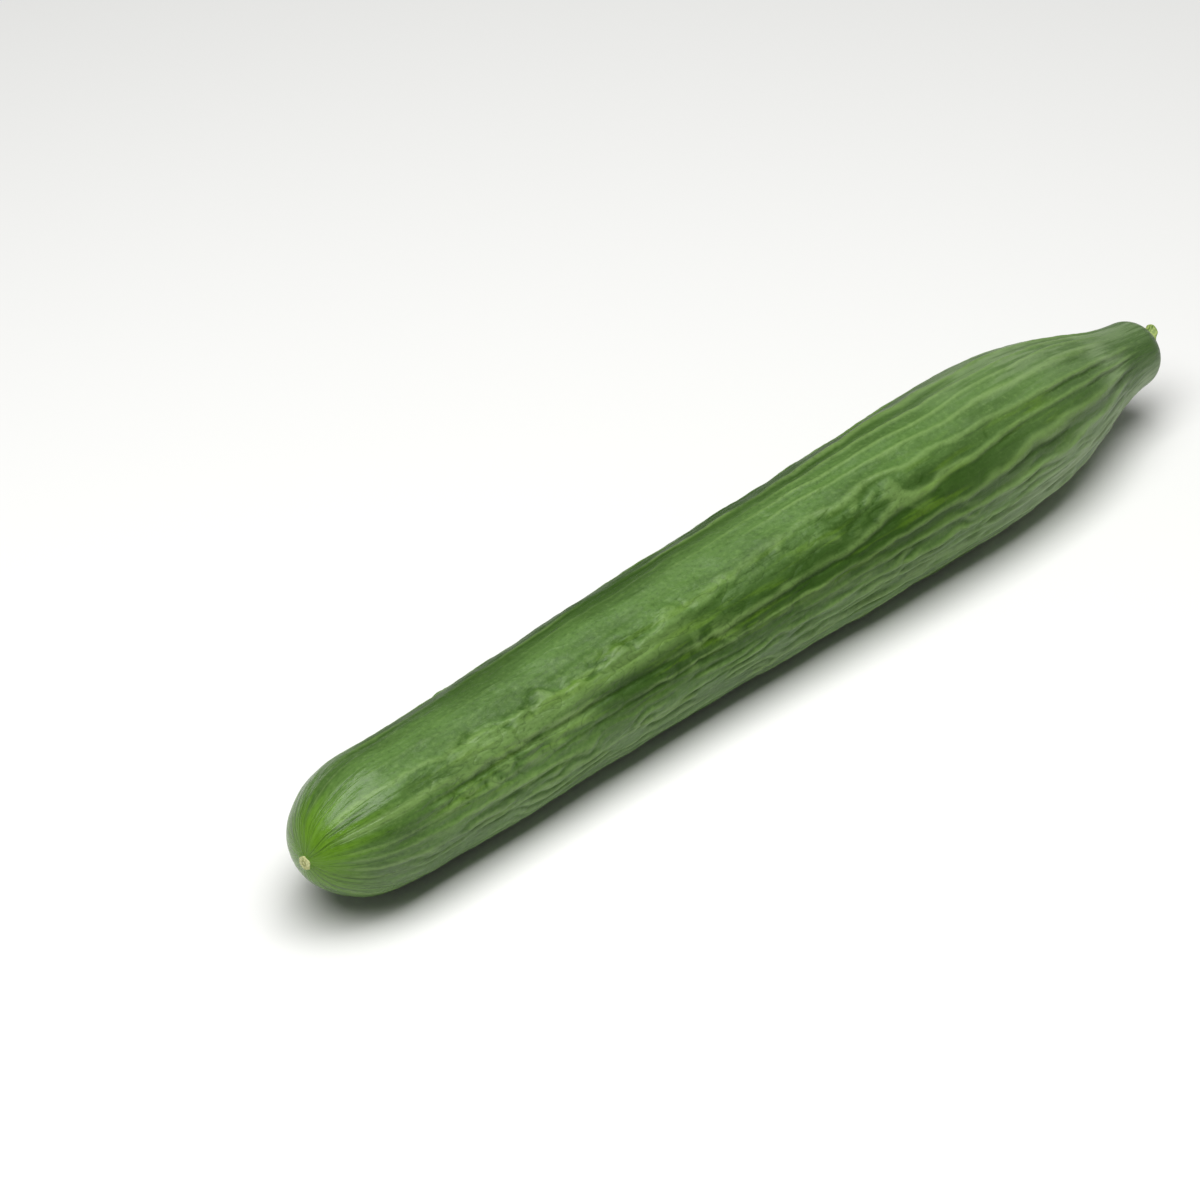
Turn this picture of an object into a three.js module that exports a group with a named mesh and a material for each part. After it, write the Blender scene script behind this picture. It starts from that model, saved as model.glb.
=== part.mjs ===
// A whole greenhouse cucumber, as picked, lying on its side. Millimetres, +Z up.
// The fruit lies along X: its blossom end points to -X, and its neck with the cut stem stub to +X.
// The origin is the middle of the outline on the ground, at the bottom of the fruit.
import * as THREE from 'three';

// Driving dimensions of the fruit. Places are distances from the blossom tip.
const BLOSSOM_DOME = 30;
const BLOSSOM_RADIUS = 20.2;
const WIDEST_AT = 264;
const WIDEST_RADIUS = 25;
const NECK_AT = 351;
const NECK_RADIUS = 10.8;
const NECK_DOME = 9;
const STEM_SEAT_RADIUS = 3.3;
const MIDDLE_LINE_LENGTH = 360;

// How far the round underside is pressed flat where the fruit lies
const FLAT_DEPTH = 0.8;

// The scar that the flower leaves, a little off the middle of the blossom end
const SCAR_RADIUS = 1.9;
const SCAR_FOOT = 2.3;
const SCAR_RISE = 0.25;
const SCAR_CORNERS = 6;
const SCAR_CORNER_SIZE = 0.07;
const SCAR_ASIDE = -1.3;
const SCAR_LIFT = 0.2;
const SCAR_SHIFT_ENDS = 5;

// Relief of the skin. A stretch is where the relief starts, is full, starts to fade and is gone.
const RIBS = 12;
const RIB_STRETCH = [4, 40, 320, 357];
const BODY_RIB_DEPTH = 0.4;
const SHOULDER_RIB_DEPTH = 0.9;
const SHOULDER_STRETCH = [150, 280, 300, 350];
const PUCKER_STRETCH = [45, 90, 230, 290];
const PUCKER_DEPTH = 0.3;
const LUMP_STRETCH = [5, 40, 325, 357];
const LUMP_DEPTH = 0.35;
const CHIN_AT = 6;
const CHIN_WIDTH = 3.5;
const CHIN_DEPTH = 0.4;

// The cut piece of stem
const STUB_LENGTH = 3.1;
const STUB_BASE_RADIUS = 3;
const STUB_RADIUS = 2.3;
const STUB_LEAN = THREE.MathUtils.degToRad(49);
const STUB_SIDES = 5;
const STUB_SIDE_RELIEF = 0.06;
const STUB_HOLLOW = 0.4;

// Facets
const AROUND_FRUIT = 60;
const AROUND_STUB = 24;

const SKIN_COLOUR = '#4f7a3a';
const STEM_COLOUR = '#8a9e4c';

const { lerp, smoothstep } = THREE.MathUtils;

// Strength of a relief, from 0 to 1, at one distance from the blossom tip
function strength(along, [start, full, fading, gone]) {
  return smoothstep(along, start, full) * (1 - smoothstep(along, fading, gone));
}

// Points along one stretch of an outline, without its first point
function laterPoints(curve, steps) {
  return curve.getPoints(steps).slice(1);
}

// Distance from the blossom tip to the flat on which the stem stands
function seatPlane() {
  const across = STEM_SEAT_RADIUS / NECK_RADIUS;
  return NECK_AT + NECK_DOME * Math.sqrt(1 - across * across);
}

// Half outline of the fruit as (radius, distance from the blossom tip), from axis to axis
function fruitOutline() {
  const footAngle = -Math.acos(SCAR_FOOT / BLOSSOM_RADIUS);
  const seatAngle = Math.acos(STEM_SEAT_RADIUS / NECK_RADIUS);
  const blossomEnd = new THREE.EllipseCurve(
    0, BLOSSOM_DOME, BLOSSOM_RADIUS, BLOSSOM_DOME, footAngle, 0,
  );
  const body = new THREE.CubicBezierCurve(
    new THREE.Vector2(BLOSSOM_RADIUS, BLOSSOM_DOME),
    new THREE.Vector2(21.4, 110),
    new THREE.Vector2(23.6, 195),
    new THREE.Vector2(WIDEST_RADIUS, WIDEST_AT),
  );
  const shoulder = new THREE.CubicBezierCurve(
    new THREE.Vector2(WIDEST_RADIUS, WIDEST_AT),
    new THREE.Vector2(WIDEST_RADIUS, 320),
    new THREE.Vector2(12.5, 324),
    new THREE.Vector2(NECK_RADIUS, NECK_AT),
  );
  const neckEnd = new THREE.EllipseCurve(0, NECK_AT, NECK_RADIUS, NECK_DOME, 0, seatAngle);
  return [
    new THREE.Vector2(0, SCAR_RISE / 2),
    new THREE.Vector2(SCAR_RADIUS * 0.4, -SCAR_RISE),
    new THREE.Vector2(SCAR_RADIUS, -SCAR_RISE),
    blossomEnd.getPoint(0),
    ...laterPoints(blossomEnd, 12),
    ...laterPoints(body, 56),
    ...laterPoints(shoulder, 16),
    ...laterPoints(neckEnd, 6),
    new THREE.Vector2(0, seatPlane()),
  ];
}

// Height of the middle line where a stretch of this radius lies on the ground
function lying(radius) {
  return radius - FLAT_DEPTH;
}

// Middle line of the fruit, through evenly spaced points: nearly straight, both ends lifted
const middleLine = new THREE.CatmullRomCurve3(
  [
    new THREE.Vector3(0, 0, 23.5),
    new THREE.Vector3(60, 1.6, lying(21.2)),
    new THREE.Vector3(120, 1.7, lying(21.9)),
    new THREE.Vector3(180, 0.8, lying(23)),
    new THREE.Vector3(240, -0.9, lying(24.4)),
    new THREE.Vector3(300, -0.6, 23.7),
    new THREE.Vector3(MIDDLE_LINE_LENGTH, -0.4, 22.5),
  ],
  false,
  'catmullrom',
);

// Centre of the cross-section at one distance from the blossom tip
function centreAt(along) {
  const share = THREE.MathUtils.clamp(along / MIDDLE_LINE_LENGTH, 0, 1);
  const centre = middleLine.getPoint(share);
  const nearScar = 1 - smoothstep(along, 0, SCAR_SHIFT_ENDS);
  centre.y += SCAR_ASIDE * nearScar;
  centre.z += SCAR_LIFT * nearScar;
  return centre;
}

// Ribs that run lengthwise, wander a little and are strongest on the shoulder next to the neck
function ribRelief(along, angle) {
  const shoulder = strength(along, SHOULDER_STRETCH);
  const depth = strength(along, RIB_STRETCH) * lerp(BODY_RIB_DEPTH, SHOULDER_RIB_DEPTH, shoulder);
  const wander = 0.5 * Math.sin(along / 41 + 2 * angle) + 0.35 * Math.sin(along / 19 - 3 * angle);
  const ridge = 0.5 + 0.5 * Math.cos(RIBS * angle + wander);
  return depth * (ridge - 0.7);
}

// Small puckers of the skin, on the middle of the fruit
function puckerRelief(along, angle) {
  const crosswise = Math.sin(along / 3.4 + 2.1 * Math.sin(5 * angle));
  const lengthwise = Math.sin(7 * angle + 1.7 * Math.sin(along / 9));
  return PUCKER_DEPTH * strength(along, PUCKER_STRETCH) * crosswise * lengthwise;
}

// Slow lumps, so that no cross-section is a true circle
function lumpRelief(along, angle) {
  const oval = Math.sin(along / 27 + Math.cos(angle)) * Math.sin(2 * angle + along / 60);
  const threeSided = Math.cos(3 * angle + along / 34);
  return LUMP_DEPTH * strength(along, LUMP_STRETCH) * (0.6 * oval + 0.4 * threeSided);
}

// The dip under the blossom scar
function chinRelief(along, angle) {
  const downward = smoothstep(-Math.sin(angle), 0.35, 1);
  const nearness = Math.exp(-(((along - CHIN_AT) / CHIN_WIDTH) ** 2));
  return -CHIN_DEPTH * downward * nearness;
}

function skinRelief(along, angle) {
  return ribRelief(along, angle) + puckerRelief(along, angle)
    + lumpRelief(along, angle) + chinRelief(along, angle);
}

// A turned body whose points are moved one by one: place(point, angle) gives each new position.
// The last column repeats the first, so that the seam stays closed.
function shapedLathe(outline, around, place) {
  const geometry = new THREE.LatheGeometry(outline, around);
  const position = geometry.getAttribute('position');
  for (let column = 0; column <= around; column += 1) {
    const angle = ((column % around) / around) * 2 * Math.PI;
    outline.forEach((point, row) => {
      const { x, y, z } = place(point, angle);
      position.setXYZ(column * outline.length + row, x, y, z);
    });
  }
  geometry.computeVertexNormals();
  return geometry;
}

// The fruit lies along its middle line. It is flat along the bottom, where it lies.
function fruitGeometry() {
  return shapedLathe(fruitOutline(), AROUND_FRUIT, (point, angle) => {
    const along = point.y;
    const onScar = along < 0 ? SCAR_CORNER_SIZE : 0;
    const corners = 1 + onScar * Math.cos(SCAR_CORNERS * angle);
    const radius = point.x > 0 ? point.x * corners + skinRelief(along, angle) : 0;
    const place = centreAt(along);
    place.x = along;
    place.y += radius * Math.cos(angle);
    place.z = Math.max(place.z + radius * Math.sin(angle), 0);
    return place;
  });
}

// The stem stub: five-sided, flared where it meets the neck, leaning up, with a hollowed cut
function stubGeometry() {
  const outline = [
    new THREE.Vector2(0, 0),
    new THREE.Vector2(STUB_BASE_RADIUS, 0),
    new THREE.Vector2(lerp(STUB_BASE_RADIUS, STUB_RADIUS, 0.6), STUB_LENGTH * 0.13),
    new THREE.Vector2(STUB_RADIUS, STUB_LENGTH * 0.35),
    new THREE.Vector2(STUB_RADIUS, STUB_LENGTH * 0.75),
    new THREE.Vector2(STUB_RADIUS * 1.05, STUB_LENGTH * 0.92),
    new THREE.Vector2(STUB_RADIUS * 0.95, STUB_LENGTH),
    new THREE.Vector2(STUB_RADIUS * 0.7, STUB_LENGTH),
    new THREE.Vector2(STUB_RADIUS * 0.5, STUB_LENGTH - STUB_HOLLOW),
    new THREE.Vector2(0, STUB_LENGTH - STUB_HOLLOW),
  ];
  const seat = centreAt(seatPlane());
  const lean = Math.tan(STUB_LEAN);
  return shapedLathe(outline, AROUND_STUB, (point, angle) => {
    const height = point.y;
    const sides = STUB_SIDE_RELIEF * smoothstep(height, 0, STUB_LENGTH / 4) * Math.cos(STUB_SIDES * angle);
    const radius = point.x * (1 + sides);
    const across = radius * Math.cos(angle);
    const up = radius * Math.sin(angle);
    const cutTilt = up * lean * smoothstep(height, STUB_LENGTH / 2, STUB_LENGTH);
    return {
      x: seatPlane() + height - cutTilt,
      y: seat.y + across,
      z: seat.z + up + height * lean,
    };
  });
}

function namedMesh(name, geometry, color, roughness) {
  const material = new THREE.MeshStandardMaterial({ color, roughness, metalness: 0 });
  const mesh = new THREE.Mesh(geometry, material);
  mesh.name = name;
  return mesh;
}

const cucumber = new THREE.Group();
cucumber.add(namedMesh('fruit', fruitGeometry(), SKIN_COLOUR, 0.45));
cucumber.add(namedMesh('stem_stub', stubGeometry(), STEM_COLOUR, 0.7));

// The lowest skin lies at z = 0, so only the outline on the ground needs centring
const middle = new THREE.Box3().setFromObject(cucumber).getCenter(new THREE.Vector3());
cucumber.position.set(-middle.x, -middle.y, 0);

export default cucumber;
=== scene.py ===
from math import cos, pi, radians, sin
import bpy
import numpy as np
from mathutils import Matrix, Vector, noise


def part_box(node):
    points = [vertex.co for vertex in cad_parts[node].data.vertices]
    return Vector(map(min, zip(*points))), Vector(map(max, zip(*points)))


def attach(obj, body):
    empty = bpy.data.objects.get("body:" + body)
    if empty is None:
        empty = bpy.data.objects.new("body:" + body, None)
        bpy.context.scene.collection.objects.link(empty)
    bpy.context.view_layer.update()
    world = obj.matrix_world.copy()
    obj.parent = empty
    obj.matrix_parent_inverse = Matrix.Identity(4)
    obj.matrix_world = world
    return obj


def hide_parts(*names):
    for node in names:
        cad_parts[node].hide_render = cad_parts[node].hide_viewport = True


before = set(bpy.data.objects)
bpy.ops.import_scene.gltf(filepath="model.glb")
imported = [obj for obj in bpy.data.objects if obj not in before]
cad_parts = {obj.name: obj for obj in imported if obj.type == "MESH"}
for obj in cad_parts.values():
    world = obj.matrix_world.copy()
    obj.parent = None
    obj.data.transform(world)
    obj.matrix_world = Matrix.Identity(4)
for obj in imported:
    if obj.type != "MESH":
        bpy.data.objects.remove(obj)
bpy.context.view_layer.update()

# Studio
# The cucumber is seen from its blossom end, a little from above, on a plain pale table
# under one wide soft box. Nothing here is part of the object.
camera_azimuth = radians(-46.5)
camera_elevation = radians(35)
camera_distance = 1.6
camera_lens_mm = 166.5
sensor_width_mm = 36
aim_height = 0.022
aim_left = 0.0460
aim_down = 0.0041
view_right = Vector((cos(camera_azimuth), sin(camera_azimuth), 0))
view_back = Vector((
    sin(camera_azimuth) * cos(camera_elevation),
    -cos(camera_azimuth) * cos(camera_elevation),
    sin(camera_elevation),
))
view_up = view_back.cross(view_right)
looked_at = Vector((0, 0, aim_height)) - aim_left * view_right - aim_down * view_up
bpy.ops.object.camera_add(
    location=looked_at + camera_distance * view_back,
    rotation=view_back.to_track_quat("Z", "Y").to_euler(),
)
camera = bpy.context.object
camera.name = "camera"
camera.data.lens = camera_lens_mm
camera.data.sensor_width = sensor_width_mm
camera.data.clip_end = 50
bpy.context.scene.camera = camera
bpy.context.scene.view_settings.view_transform = "Standard"


def linear(hex_colour):
    """A colour as seen on screen, as the light that a shader works with."""
    shares = [int(hex_colour[i:i + 2], 16) / 255 for i in (0, 2, 4)]
    return (*[s / 12.92 if s <= 0.04045 else ((s + 0.055) / 1.055) ** 2.4 for s in shares], 1)


def new_material(name):
    """A material with its node tree, its Principled shader and a helper that adds joined nodes.

    The helpers for colours and patterns below use the helper of the material made last.
    """
    material = bpy.data.materials.new(name)
    material.use_nodes = True
    tree = material.node_tree
    shader = tree.nodes["Principled BSDF"]

    def add(kind, output=0, settings=None, **inputs):
        made = tree.nodes.new(kind)
        for key, value in (settings or {}).items():
            setattr(made, key, value)
        for key, value in inputs.items():
            number = key.removeprefix("i")
            socket = made.inputs[int(number)] if number.isdigit() else made.inputs[key.replace("_", " ")]
            if isinstance(value, bpy.types.NodeSocket):
                tree.links.new(value, socket)
            else:
                socket.default_value = value
        return made.outputs[output]

    return material, tree, shader, add


table_size = 6
table_gap = 0.0002
bpy.ops.mesh.primitive_plane_add(size=table_size, location=(0, 0, -table_gap))
table = bpy.context.object
table.name = "table"
table_material, _, table_shader, _ = new_material("pale_table")
table_shader.inputs["Base Color"].default_value = linear("e9e9e7")
table_shader.inputs["Roughness"].default_value = 0.9
table.data.materials.append(table_material)

bpy.ops.object.light_add(type="AREA", location=(-0.3, -0.1, 1.1))
soft_box = bpy.context.object
soft_box.name = "soft_box"
soft_box.data.shape = "RECTANGLE"
soft_box.data.size = 1.5
soft_box.data.size_y = 0.86
soft_box.data.energy = 21
world = bpy.data.worlds.new("studio")
world.use_nodes = True
world.node_tree.nodes["Background"].inputs["Color"].default_value = (1, 1, 1, 1)
world.node_tree.nodes["Background"].inputs["Strength"].default_value = 0.13
bpy.context.scene.world = world

# Fruit
# One grown body with a thin waxy skin: wavy raised lines from the blossom end to the neck,
# crumpled stretches between them, a smooth bare neck. The fine skin is grown over the packed
# solid, so it stays in its place.
noise.seed_set(11)
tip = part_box("fruit")[0].x
even_radius = 0.022
scar_aside = -0.0013
scar_lift = 0.0002
scar_shift_ends = 0.005
middle_line_starts = 0.008
middle_line_ends = 0.355
middle_line_bends = 6

bpy.ops.object.select_all(action="DESELECT")
skin = bpy.data.objects.new("fruit_skin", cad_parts["fruit"].data.copy())
bpy.context.collection.objects.link(skin)
skin.data.materials.clear()
skin.select_set(True)
bpy.context.view_layer.objects.active = skin
bpy.ops.object.mode_set(mode="EDIT")
bpy.ops.mesh.select_all(action="SELECT")
bpy.ops.mesh.remove_doubles(threshold=1e-6)
bpy.ops.mesh.tris_convert_to_quads(face_threshold=radians(50), shape_threshold=radians(80))
bpy.ops.object.mode_set(mode="OBJECT")


def round_off(thing):
    """Subdivides the active piece twice, onto a smoothly rounded surface."""
    rounder = thing.modifiers.new("rounder", "SUBSURF")
    rounder.levels = rounder.render_levels = 2
    bpy.ops.object.modifier_apply(modifier=rounder.name)
    bpy.ops.object.shade_smooth()


def points_of(mesh, what="co"):
    """The places or the normals of all points of a mesh."""
    values = np.empty(len(mesh.vertices) * 3)
    mesh.vertices.foreach_get(what, values)
    return values.reshape(-1, 3)


def between(values, low, high):
    """0 below low, 1 above high, and smooth on the way."""
    t = np.clip((values - low) / (high - low), 0, 1)
    return t * t * (3 - 2 * t)


def hill(values, middle, width):
    """1 in the middle, falling off smoothly on both sides."""
    return np.exp(-(((values - middle) / width) ** 2))


round_off(skin)
place = points_of(skin.data)
along = place[:, 0] - tip
inner = (along > middle_line_starts) & (along < middle_line_ends)
bend_y = np.polyfit(place[inner, 0], place[inner, 1], middle_line_bends)
bend_z = np.polyfit(place[inner, 0], place[inner, 2], middle_line_bends)
middle_y = np.polyval(bend_y, place[:, 0])
middle_z = np.polyval(bend_z, place[:, 0])
near_scar = 1 - between(along, 0, scar_shift_ends)
middle_y += scar_aside * near_scar
middle_z += scar_lift * near_scar
angle = np.arctan2(place[:, 2] - middle_z, place[:, 1] - middle_y)
radius_here = np.hypot(place[:, 2] - middle_z, place[:, 1] - middle_y)
degrees = np.degrees(angle) % 360
grown = np.column_stack([along, even_radius * np.cos(angle), even_radius * np.sin(angle)])


def stretch(starts, full, fades, gone):
    """1 on a stretch of the fruit, by distance from the blossom tip, and smooth at its ends."""
    return between(along, starts, full) * (1 - between(along, fades, gone))


def field(length, width, seed, warp=0, octaves=1):
    """Smooth random field on the skin, with features of this length along and this width around."""
    scaled = grown / (length, width, width) + (seed * 7.3, seed * 3.1, seed * 5.7)
    if warp:
        scaled = scaled + warp * np.array([noise.noise_vector(Vector(p) * 0.6) for p in scaled])
    total = np.zeros(len(scaled))
    for octave in range(octaves):
        size = 2 ** octave
        total += np.array([noise.noise(Vector(p) * size) for p in scaled]) / size
    return total


def add_field(mesh, name, values):
    """Keeps one number or one vector for each point of a mesh, for its material."""
    kind = "FLOAT" if values.ndim == 1 else "FLOAT_VECTOR"
    stored = mesh.attributes.new(name, kind, "POINT")
    stored.data.foreach_set("value" if values.ndim == 1 else "vector", values.ravel())


# Crinkled belts that run lengthwise: the degrees of the middle of each, its width and strength
belt_places = [(130, 17, 1), (157, 13, 0.8), (14, 24, 1), (285, 26, 1)]
belts = sum(strong * hill(degrees, at, width) for at, width, strong in belt_places)
belts = np.minimum(belts, 1) * stretch(0.02, 0.05, 0.28, 0.33)

# Raised lines, by their degrees around the fruit. They wander, and more so on the shoulder.
line_degrees = [
    4, 19, 33, 50, 64, 77, 91, 102, 122, 139, 156, 168,
    182, 193, 207, 221, 238, 252, 266, 283, 297, 312, 330, 345,
]
lines = len(line_degrees)
places = [line_degrees[-1] - 360, *line_degrees, line_degrees[0] + 360]
line_number = np.interp(degrees, places, np.arange(-1, lines + 1))
short_wander = 0.14 + 0.13 * between(along, 0.16, 0.23)
line_number += 0.8 * field(0.11, 0.014, 1) + short_wander * field(0.016, 0.011, 2)
jitter = 0.05 + 0.13 * belts * (1 - between(along, 0.20, 0.27))
line_number += jitter * field(0.006, 0.005, 3)
off_line = line_number - np.round(line_number)
line_spacing = 2 * pi * radius_here / lines
off_line_mm = off_line * line_spacing * 1000
body = stretch(0.006, 0.04, 0.33, 0.35)
middle = stretch(0.03, 0.07, 0.25, 0.32)
shoulder = stretch(0.14, 0.22, 0.325, 0.35)
line_strength = 0.3 + 0.7 * between(field(0.045, 0.005, 4), -0.3, 0.3)
line_strength = np.maximum(line_strength, 0.85 * shoulder)
calm_flank = hill(degrees, 92, 26)
line_strength *= 1 - 0.6 * calm_flank * (1 - shoulder)
crest_width_mm = 0.75 + 0.30 * shoulder
crest = hill(off_line_mm, 0, crest_width_mm) * line_strength
groove_places = between(field(0.035, 0.006, 5), -0.1, 0.3)
groove = hill(off_line_mm, 1.4, 0.7) * groove_places * (1 - 0.8 * calm_flank)

# Creases across, between the lines. Each band between two lines has its own shift along the fruit.
crease_spacing_mm = 15
off_band = line_number - np.floor(line_number) - 0.5
band_shift = (np.sin(np.floor(line_number) * 12.9898) * 43.758) % 1
crossing = along * 1000 / crease_spacing_mm + band_shift + 0.5 * field(0.012, 0.012, 6)
off_crossing_mm = crease_spacing_mm * (crossing - np.round(crossing))
crease_places = between(field(0.03, 0.01, 7), 0.05, 0.3)
crease = hill(off_crossing_mm, 0, 0.9) * (1 - (2 * off_band) ** 2) * crease_places * belts

# Crumpled stretches
patches = between(field(0.045, 0.012, 8), -0.35, 0.25)
crumple_share = belts * patches * (1 - 0.8 * between(along, 0.20, 0.26))
folds = np.minimum(1, np.abs(field(0.0110, 0.0054, 9, warp=1.2)) * 2.6)
# The creases between the folds, which get painted shade in the colour
fold_crease_shades = np.maximum(0, 1 - folds * 2.5) ** 2

# Raised welts on the blossom half: each has a scalloped edge, with pockets in front of it, and
# runs down to a furrow. They are given by the degrees of the edge and of the furrow, and by how
# strongly the edge is scalloped.
welts = [(121, 148, 1), (28, 6, 0.45), (262, 290, 1)]
scallops = 13 * field(0.0080, 0.011, 16, warp=0.8) + 7 * field(0.022, 0.012, 17)
furrow_drift = 6 * field(0.06, 0.02, 18)
pocket_places = between(field(0.008, 0.01, 19), -0.1, 0.15)
welt = np.zeros(len(place))
furrow = np.zeros(len(place))
for edge, end, reach in welts:
    side = 1 if end > edge else -1
    from_edge = side * (degrees - edge) + reach * scallops
    from_furrow = side * (end - degrees) + furrow_drift
    welt = np.maximum(welt, between(from_edge, -1.5, 3) * between(from_furrow, 0, 10))
    pockets = hill(from_edge, -3.5, 3) * pocket_places
    furrow = np.maximum(furrow, np.maximum(hill(from_furrow, -1, 2.2), 0.8 * pockets))
welt *= stretch(0.03, 0.06, 0.12, 0.16)
furrow *= stretch(0.015, 0.05, 0.12, 0.155)

# Fine wavy wrinkles low on both sides
low_side = np.minimum(1, hill(degrees, 190, 24) + hill(degrees, 345, 26) + 0.2 * belts)
wrinkle_number = degrees / 9 + 1.1 * field(0.010, 0.012, 13) + 0.9 * field(0.035, 0.009, 14)
wrinkle_share = body * low_side * between(field(0.013, 0.004, 15), -0.35, 0.15)
wrinkles = 0.5 + 0.5 * np.cos(2 * pi * wrinkle_number)

# Lobes, slow swellings and fine puckers everywhere, and the relief of all of it together
lobes = field(0.012, 0.005, 10, warp=0.8)
puckers = field(0.0030, 0.0024, 11, octaves=2)
swellings = field(0.026, 0.011, 20)
tip_swellings = field(0.014, 0.004, 21, warp=0.6)
near_tip = stretch(0.004, 0.014, 0.035, 0.07)
crest_mm = 0.26 + 0.46 * shoulder
groove_mm = 0.22 + 0.26 * shoulder
crease_mm = 0.14
crumple_mm = 0.68
welt_mm = 1.25
furrow_mm = 0.55
wrinkle_mm = 0.62
lobe_mm = 0.26
swelling_mm = 0.40
tip_swelling_mm = 0.35
pucker_mm = 0.10
relief_mm = (
    body * crest_mm * crest
    - body * groove_mm * groove
    - middle * crease_mm * crease
    + crumple_mm * crumple_share * (1 - 0.4 * welt) * (folds - 0.5)
    + welt_mm * welt
    - furrow_mm * furrow
    + wrinkle_mm * wrinkle_share * (wrinkles - 0.5)
    + lobe_mm * body * (0.35 + 0.65 * belts) * lobes
    + swelling_mm * body * swellings
    + tip_swelling_mm * near_tip * tip_swellings
    + pucker_mm * (0.3 + 0.7 * body) * puckers
)
normals = points_of(skin.data, "normal")
shaped = place + normals * relief_mm[:, None] / 1000
shaped[:, 2] = np.maximum(shaped[:, 2], 0)
skin.data.vertices.foreach_set("co", shaped.ravel())
skin.data.update()

# Where the colours of the skin lie: painted highlights and painted shade on the relief, the darker
# sides, partly painted shade, the yellow-green flush round the blossom scar, the pale bloom on the
# shoulder, and a painted highlight on the waist of the neck
lined = stretch(0.002, 0.01, 0.335, 0.35)
# Painted highlights on the wrinkle tops, the fold tops and the welts, and on the paler crests
wrinkle_highlights = 0.9 * wrinkles * wrinkle_share
# Painted shade in the wrinkle valleys, grooves, creases, fold creases, furrows and pockets
wrinkle_valley_shade = 0.7 * (1 - wrinkles) ** 2 * wrinkle_share
crumple_crease_shade = fold_crease_shades * crumple_share * (1 - 0.5 * welt)
add_field(skin.data, "grown", grown)
add_field(skin.data, "crest", np.maximum(crest * (1 - 0.7 * welt), wrinkle_highlights) * lined)
add_field(skin.data, "groove", np.maximum.reduce([groove * body, crease * middle, wrinkle_valley_shade]))
add_field(skin.data, "belts", belts)
add_field(skin.data, "fold_top_highlight", np.maximum(between(folds, 0.4, 1) * crumple_share, 0.8 * welt))
add_field(skin.data, "fold_crease_shade", np.maximum(crumple_crease_shade, 0.75 * furrow))
# Darker stripes round the fruit: the one along the upper edge is partly darker skin and partly painted
# shade, the one on the near lower flank is painted shade, and the two on the far side are darker skin
drifted = degrees + 8 * field(0.08, 0.02, 12)
dark_side_and_shade = 0.95 * hill(drifted, 57, 21) + hill(drifted, 255, 24) + 0.7 * hill(drifted, 350, 16)
dark_side_and_shade *= 0.25 + 0.75 * between(along, 0.01, 0.05)
front_shade = 0.4 + 0.6 * between(along, 0.08, 0.13)
front_shade = front_shade * (1 - 0.3 * between(along, 0.22, 0.29))
dark_side_and_shade += hill(drifted, 150, 23) * front_shade
shortest_flush = 0.003
flush_ends = 0.010 + 0.011 * hill(degrees, 118, 36) + 0.006 * hill(degrees, 195, 18)
flush_ends += 0.016 * field(0.2, 0.0022, 3)
bloom_around = 1 - 0.9 * hill(degrees, 138, 38) + 0.7 * hill(degrees, 192, 16)
bloom_share = between(along, 0.24, 0.3) * bloom_around
# A pale ring round the waist of the neck: a painted highlight
waist_highlight = 0.9 * hill(along, 0.329, 0.009)
add_field(skin.data, "bloom_and_highlight", np.maximum(bloom_share, waist_highlight))
add_field(skin.data, "flush", 1 - between(along / np.maximum(flush_ends, shortest_flush), 0.1, 1))
add_field(skin.data, "dark_side_and_shade", np.minimum(dark_side_and_shade, 1))

skin_material, skin_tree, skin_shader, add = new_material("cucumber_skin")


def kept(name, output="Fac"):
    """What add_field stored on the skin under this name."""
    return add("ShaderNodeAttribute", output=output, settings={"attribute_name": name})


def pattern(size_along, size_around, detail=2.0, seed=0.0, bent=0.0):
    """Noise on the grown place, with features of these sizes in metres."""
    stretched = add(
        "ShaderNodeMapping",
        Vector=grown_place,
        Location=(seed, seed * 1.7, seed * 0.6),
        Scale=(1 / size_along, 1 / size_around, 1 / size_around),
    )
    return add(
        "ShaderNodeTexNoise",
        Vector=stretched,
        Scale=1.0,
        Detail=detail,
        Roughness=0.55,
        Distortion=bent,
    )


def ramp(value, low, high, start=0.0, end=1.0):
    """Smooth change from start to end while the value goes from low to high."""
    return add(
        "ShaderNodeMapRange",
        settings={"interpolation_type": "SMOOTHSTEP"},
        Value=value,
        From_Min=low,
        From_Max=high,
        To_Min=start,
        To_Max=end,
    )


def times(first, second):
    """The product of two values."""
    return add("ShaderNodeMath", settings={"operation": "MULTIPLY"}, i0=first, i1=second)


def larger(first, second):
    """The larger of two values."""
    return add("ShaderNodeMath", settings={"operation": "MAXIMUM"}, i0=first, i1=second)


def veins(noise_value):
    """0 along thin branching lines where a noise crosses its middle, and more beside them."""
    signed = add("ShaderNodeMath", settings={"operation": "SUBTRACT"}, i0=noise_value, i1=0.5)
    return add("ShaderNodeMath", settings={"operation": "ABSOLUTE"}, i0=signed)


def tinted(under, over, share):
    """Colour over another by a share."""
    return add(
        "ShaderNodeMix", output=2, settings={"data_type": "RGBA"}, i0=share, i6=under, i7=over,
    )


grown_place = kept("grown", "Vector")
on_crest_and_highlight = kept("crest")
in_groove_shade = kept("groove")
on_fold_highlight = kept("fold_top_highlight")
in_fold_crease_shade = kept("fold_crease_shade")
on_dark_side_and_shade = kept("dark_side_and_shade")
on_belts = kept("belts")
on_bloom_and_highlight = kept("bloom_and_highlight")
in_flush = kept("flush")
distance_along = add("ShaderNodeSeparateXYZ", Vector=grown_place)
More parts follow.
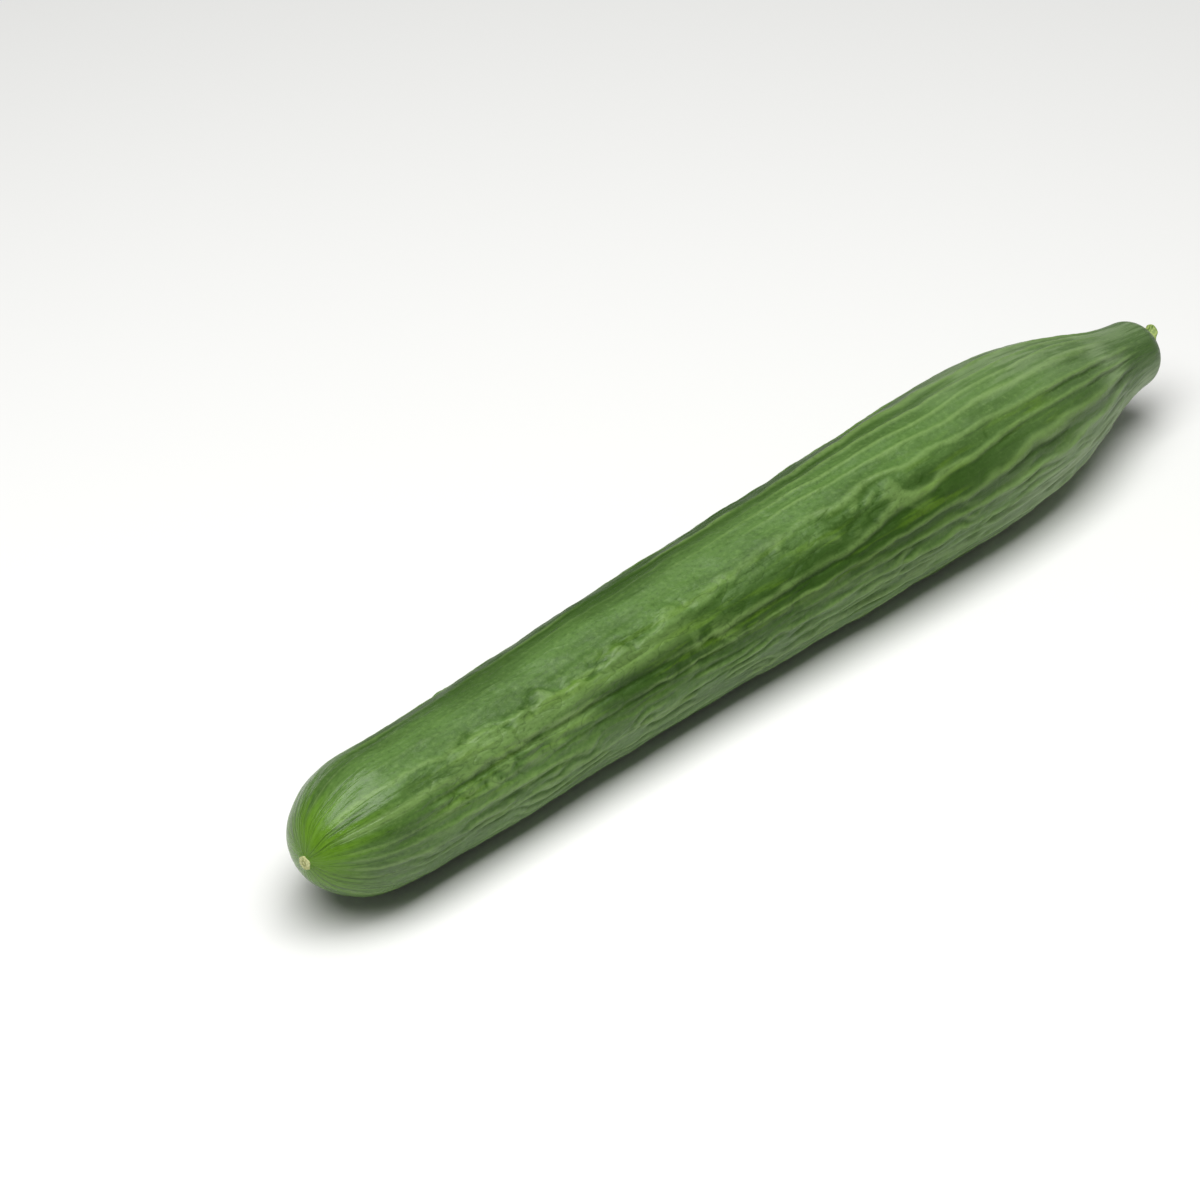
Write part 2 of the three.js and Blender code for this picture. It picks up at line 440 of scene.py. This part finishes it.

# Ground colour: deeper patches, the dark sides with their painted shade, yellow streaks on the belts,
# the neck, and the flush with the painted shade of its dark rays and spokes round the scar
deep_green = linear("294412")
mid_green = linear("547536")
pale_line_and_highlight = linear("84a35c")
yellow_band = linear("62861f")
crease_shade_green = linear("243e0f")
flush = linear("628f12")
neck_green = linear("425c2e")
bloom_and_highlight_grey = linear("92a87c")
colour = tinted(mid_green, deep_green, ramp(pattern(0.03, 0.008, 4, 1.0), 0.42, 0.68, 0.0, 0.45))
# The darker sides: darker skin, with painted shade on the upper edge and on the near lower flank
colour = tinted(colour, deep_green, ramp(on_dark_side_and_shade, 0.05, 1.0, 0.0, 0.83))
yellow_streaks = ramp(pattern(0.03, 0.0028, 2, 2.0), 0.5, 0.68)
yellow_share = times(yellow_streaks, ramp(on_belts, 0.1, 0.9, 0.04, 0.42))
colour = tinted(colour, yellow_band, yellow_share)
colour = tinted(colour, neck_green, times(ramp(distance_along, 0.275, 0.345), 0.8))
colour = tinted(colour, flush, times(in_flush, 0.72))
near_blossom = ramp(distance_along, 0.012, 0.045, 1.0, 0.0)
# Painted shade in the fine radial creases round the scar, as dark rays and spokes
rays = ramp(pattern(0.2, 0.0014, 1, 4.0), 0.58, 0.7)
colour = tinted(colour, crease_shade_green, times(times(rays, near_blossom), 0.24))
spoke_shade = ramp(veins(pattern(0.2, 0.0036, 1, 11.0)), 0.0, 0.03, 1.0, 0.0)
colour = tinted(colour, crease_shade_green, times(spoke_shade, ramp(distance_along, 0.004, 0.026, 0.6, 0.0)))

# Relief: painted shade in the grooves and creases, pale crests with a painted highlight on them, and
# painted highlights on the folds
colour = tinted(colour, crease_shade_green, times(ramp(in_groove_shade, 0.1, 0.9), 0.4))
colour = tinted(colour, pale_line_and_highlight, times(ramp(on_crest_and_highlight, 0.1, 0.95), 0.46))
colour = tinted(colour, pale_line_and_highlight, times(ramp(on_fold_highlight, 0.1, 0.9), 0.34))
colour = tinted(colour, crease_shade_green, times(ramp(in_fold_crease_shade, 0.1, 0.8), 0.5))

# Fine marks: dark and pale specks, painted shade in the crinkle lines on the belts, the grey bloom, and
# a painted highlight on the waist of the neck
mottle = pattern(0.0016, 0.0012, 3, 8.0)
dark_specks = ramp(mottle, 0.5, 0.72, 0.0, 0.33)
colour = tinted(colour, deep_green, times(dark_specks, ramp(distance_along, 0.2, 0.26, 1.0, 0.5)))
pale_specks = ramp(mottle, 0.5, 0.25, 0.0, 0.2)
colour = tinted(colour, pale_line_and_highlight, times(pale_specks, ramp(on_dark_side_and_shade, 0.1, 0.9, 1.0, 0.2)))
crinkle = veins(pattern(0.012, 0.005, 1, 10.0, bent=0.5))
crinkle_shade_lines = ramp(crinkle, 0.0, 0.025, 1.0, 0.0)
belt_share = times(ramp(on_belts, 0.0, 1.0, 0.12, 1.0), ramp(distance_along, 0.18, 0.23, 1.0, 0.08))
# Painted shade along the crinkle lines on the belts
colour = tinted(colour, crease_shade_green, times(times(crinkle_shade_lines, belt_share), 0.3))
# Grey waxy bloom on the shoulder, and a painted highlight round the waist of the neck
bloom_patches = ramp(pattern(0.02, 0.0024, 4, 9.0), 0.4, 0.6, 0.3, 1.0)
colour = tinted(colour, bloom_and_highlight_grey, times(times(on_bloom_and_highlight, bloom_patches), 0.57))
skin_tree.links.new(colour, skin_shader.inputs["Base Color"])

# Gloss: uneven wax, glossiest at the blossom end, with little shine in hollows and on dark sides
waxy = ramp(pattern(0.02, 0.006, 3, 5.0), 0.3, 0.7, 0.38, 0.5)
roughness = times(waxy, ramp(distance_along, 0.01, 0.04, 0.62, 1.0))
skin_tree.links.new(roughness, skin_shader.inputs["Roughness"])
hollow = larger(larger(in_groove_shade, in_fold_crease_shade), times(on_dark_side_and_shade, 0.62))
shine = ramp(hollow, 0.05, 0.7, 0.32, 0.08)
skin_tree.links.new(shine, skin_shader.inputs["Specular IOR Level"])

# Fine bumps, each on top of the one before, with its strength and its depth in metres
pores = pattern(0.0018, 0.0012, 3, 6.0)
creases = pattern(0.0070, 0.0016, 4, 7.0, bent=0.6)
creases = times(creases, ramp(distance_along, 0.004, 0.04, 0.2, 1.0))
bump = None
for height, strength, depth in [
    (pores, 0.6, 0.0002),
    (creases, 0.8, 0.0005),
    (times(crinkle, belt_share), 0.8, 0.0016),
    (times(rays, near_blossom), 0.3, -0.0003),
]:
    under = {} if bump is None else {"Normal": bump}
    bump = add("ShaderNodeBump", Height=height, Strength=strength, Distance=depth, **under)
skin_tree.links.new(bump, skin_shader.inputs["Normal"])
skin.data.materials.append(skin_material)
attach(skin, "root")
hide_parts("fruit")

# Blossom scar
# The corky patch that the dried flower left on the end of the fruit: a thin six-cornered
# disc with a rolled rim and a dimple, grown into the skin.
scar_radius = 0.0022
scar_depth = 0.0007
scar_stands_in = 0.0001
tip_cap = 0.0002
crumb_height = 0.00005
crumbs_per_metre = 2600
scar_centre = Vector(shaped[along < tip_cap].mean(axis=0))

bpy.ops.object.select_all(action="DESELECT")
bpy.ops.mesh.primitive_cylinder_add(
    vertices=36, radius=scar_radius, depth=scar_depth, end_fill_type="NGON",
)
scar = bpy.context.object
scar.name = "blossom_scar"


def select_faces(thing, wanted):
    """In edit mode, selects just the faces for which wanted(centre, normal) holds."""
    bpy.ops.object.mode_set(mode="OBJECT")
    for edge in thing.data.edges:
        edge.select = False
    for vertex in thing.data.vertices:
        vertex.select = False
    for face in thing.data.polygons:
        face.select = wanted(face.center, face.normal)
    bpy.ops.object.mode_set(mode="EDIT")


bpy.ops.object.mode_set(mode="EDIT")
bpy.ops.mesh.select_mode(type="FACE")
select_faces(scar, lambda centre, normal: normal.z > 0.9)
for inwards, rise in [
    (0.00030, 0.00012),
    (0.00030, 0),
    (0.00020, -0.00022),
    (0.00040, 0),
    (0.00025, 0.00016),
    (0.00020, 0),
    (0.00015, -0.00020),
]:
    bpy.ops.mesh.inset(thickness=inwards)
    bpy.ops.transform.translate(value=(0, 0, rise))
bpy.ops.mesh.poke()
bpy.ops.object.mode_set(mode="OBJECT")
round_off(scar)
points = points_of(scar.data)

# Six soft corners on a slightly oval round, and a crumbly top
around = np.arctan2(points[:, 1], points[:, 0])
corners = 1 + 0.022 * np.cos(6 * around + 0.4)
corners = corners + 0.03 * np.sin(2 * around) + 0.012 * np.sin(5 * around)
points[:, :2] *= corners[:, None]
crumbs = np.array([noise.noise(Vector(p) * crumbs_per_metre) for p in points])
points[:, 2] += crumb_height * crumbs * (points[:, 2] > 0)
scar.data.vertices.foreach_set("co", points.ravel())
bpy.ops.transform.rotate(value=radians(-90), orient_axis="Y", center_override=(0, 0, 0))
scar.location = scar_centre + Vector((scar_stands_in, 0, 0))
bpy.ops.object.transform_apply(location=True, rotation=True, scale=True)

scar_material, scar_tree, scar_shader, add = new_material("dry_cork")
cork_place = add("ShaderNodeTexCoord", output="Object")
grain = add("ShaderNodeTexNoise", Vector=cork_place, Scale=2400.0, Detail=4.0)
blotches = add("ShaderNodeTexNoise", Vector=cork_place, Scale=700.0, Detail=2.0)
cork = tinted(linear("a5a762"), linear("dadca6"), ramp(grain, 0.35, 0.65))
cork = tinted(cork, linear("8d9a4e"), times(ramp(blotches, 0.5, 0.7), 0.5))
from_middle = add(
    "ShaderNodeVectorMath",
    settings={"operation": "DISTANCE"},
    output="Value",
    i0=cork_place,
    i1=scar_centre,
)
ring = times(ramp(from_middle, 0.0004, 0.0006), ramp(from_middle, 0.0008, 0.0011, 1.0, 0.0))
cork = tinted(cork, linear("7f8346"), times(ring, 0.7))
scar_tree.links.new(cork, scar_shader.inputs["Base Color"])
scar_tree.links.new(ramp(grain, 0.3, 0.7, 0.65, 0.85), scar_shader.inputs["Roughness"])
cork_bump = add("ShaderNodeBump", Height=grain, Strength=0.4, Distance=0.0001)
scar_tree.links.new(cork_bump, scar_shader.inputs["Normal"])
scar.data.materials.append(scar_material)
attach(scar, "root")

# Stem stub
# What is left of the stalk after the fruit was cut off: five-sided, flared where it grows out
# of the neck, bent up, with a slightly hollow cut.
stub_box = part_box("stem_stub")
stub_foot_height = 0.0225
stub_root = 0.0012
cut_hollow = 0.0003
collar_highlight_width = 0.0012
stub_foot = Vector((stub_box[0].x, (stub_box[0].y + stub_box[1].y) / 2, stub_foot_height))

# Rings of the stub from its flared foot to the edge of the cut: how far out from the neck, how
# far up, their radius and the degrees that they lean
stub_rings = [
    (0.0000, 0.0002, 0.0037, 4),
    (0.0005, 0.0009, 0.0034, 10),
    (0.0011, 0.0018, 0.0029, 14),
    (0.0017, 0.0027, 0.0024, 14),
    (0.0024, 0.0034, 0.0022, 10),
    (0.0027, 0.0037, 0.0023, 7),
    (0.0029, 0.0039, 0.0021, 7),
]

bpy.ops.object.select_all(action="DESELECT")
bpy.ops.mesh.primitive_circle_add(vertices=30, radius=stub_rings[0][2], fill_type="NGON")
stub = bpy.context.object
stub.name = "stem_stub_cut"
bpy.ops.object.mode_set(mode="EDIT")
bpy.ops.mesh.select_mode(type="FACE")
bpy.ops.mesh.select_all(action="SELECT")
bpy.ops.transform.rotate(value=radians(-90), orient_axis="Y", center_override=(0, 0, 0))
here = Vector((-stub_root, 0, 0))
bpy.ops.transform.translate(value=here)
size = stub_rings[0][2]
lean = 0
for out, up, ring_radius, ring_lean in stub_rings:
    there = Vector((out, 0, up))
    bpy.ops.mesh.extrude_region_move(TRANSFORM_OT_translate={"value": there - here})
    bpy.ops.transform.resize(value=(ring_radius / size,) * 3, center_override=there)
    bpy.ops.transform.rotate(value=radians(lean - ring_lean), orient_axis="Y", center_override=there)
    here, size, lean = there, ring_radius, ring_lean
cut_normal = Vector((cos(radians(lean)), 0, sin(radians(lean))))
bpy.ops.mesh.inset(thickness=0.0004)
bpy.ops.mesh.inset(thickness=0.0003)
bpy.ops.transform.translate(value=-cut_hollow * cut_normal)
bpy.ops.mesh.inset(thickness=0.0006)
bpy.ops.mesh.poke()
bpy.ops.mesh.select_all(action="SELECT")
bpy.ops.mesh.normals_make_consistent(inside=False)
bpy.ops.object.mode_set(mode="OBJECT")
round_off(stub)
points = points_of(stub.data)

# Five soft sides, which fade out on the flared foot
rise = between(points[:, 0] + points[:, 2], 0.0006, 0.003)
around = np.arctan2(points[:, 1], points[:, 2] - 1.4 * points[:, 0])
points[:, 1] *= 1 + 0.08 * rise * np.cos(5 * around + 0.6)
stub.data.vertices.foreach_set("co", points.ravel())
stub.location = stub_foot
bpy.ops.object.transform_apply(location=True, rotation=True, scale=True)

stub_material, stub_tree, stub_shader, add = new_material("cut_stem")
stem_place = add("ShaderNodeTexCoord", output="Object")
along_stem = add("ShaderNodeMapping", Vector=stem_place, Scale=(0.3, 1, 1))
fibres = add("ShaderNodeTexNoise", Vector=along_stem, Scale=1500.0, Detail=3.0)
stem_colour = tinted(linear("5f7c30"), linear("9fb162"), ramp(fibres, 0.38, 0.62))
stem_out = add("ShaderNodeSeparateXYZ", Vector=stem_place)
# A pale collar at the foot of the stub: a painted highlight of the sheen on its rim
collar_highlight = ramp(stem_out, stub_foot.x, stub_foot.x + collar_highlight_width, 0.7, 0.0)
stem_colour = tinted(stem_colour, linear("b4c492"), collar_highlight)
stub_tree.links.new(stem_colour, stub_shader.inputs["Base Color"])
stub_tree.links.new(ramp(fibres, 0.3, 0.7, 0.5, 0.7), stub_shader.inputs["Roughness"])
stem_bump = add("ShaderNodeBump", Height=fibres, Strength=0.4, Distance=0.0001)
stub_tree.links.new(stem_bump, stub_shader.inputs["Normal"])
stub.data.materials.append(stub_material)
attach(stub, "root")
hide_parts("stem_stub")
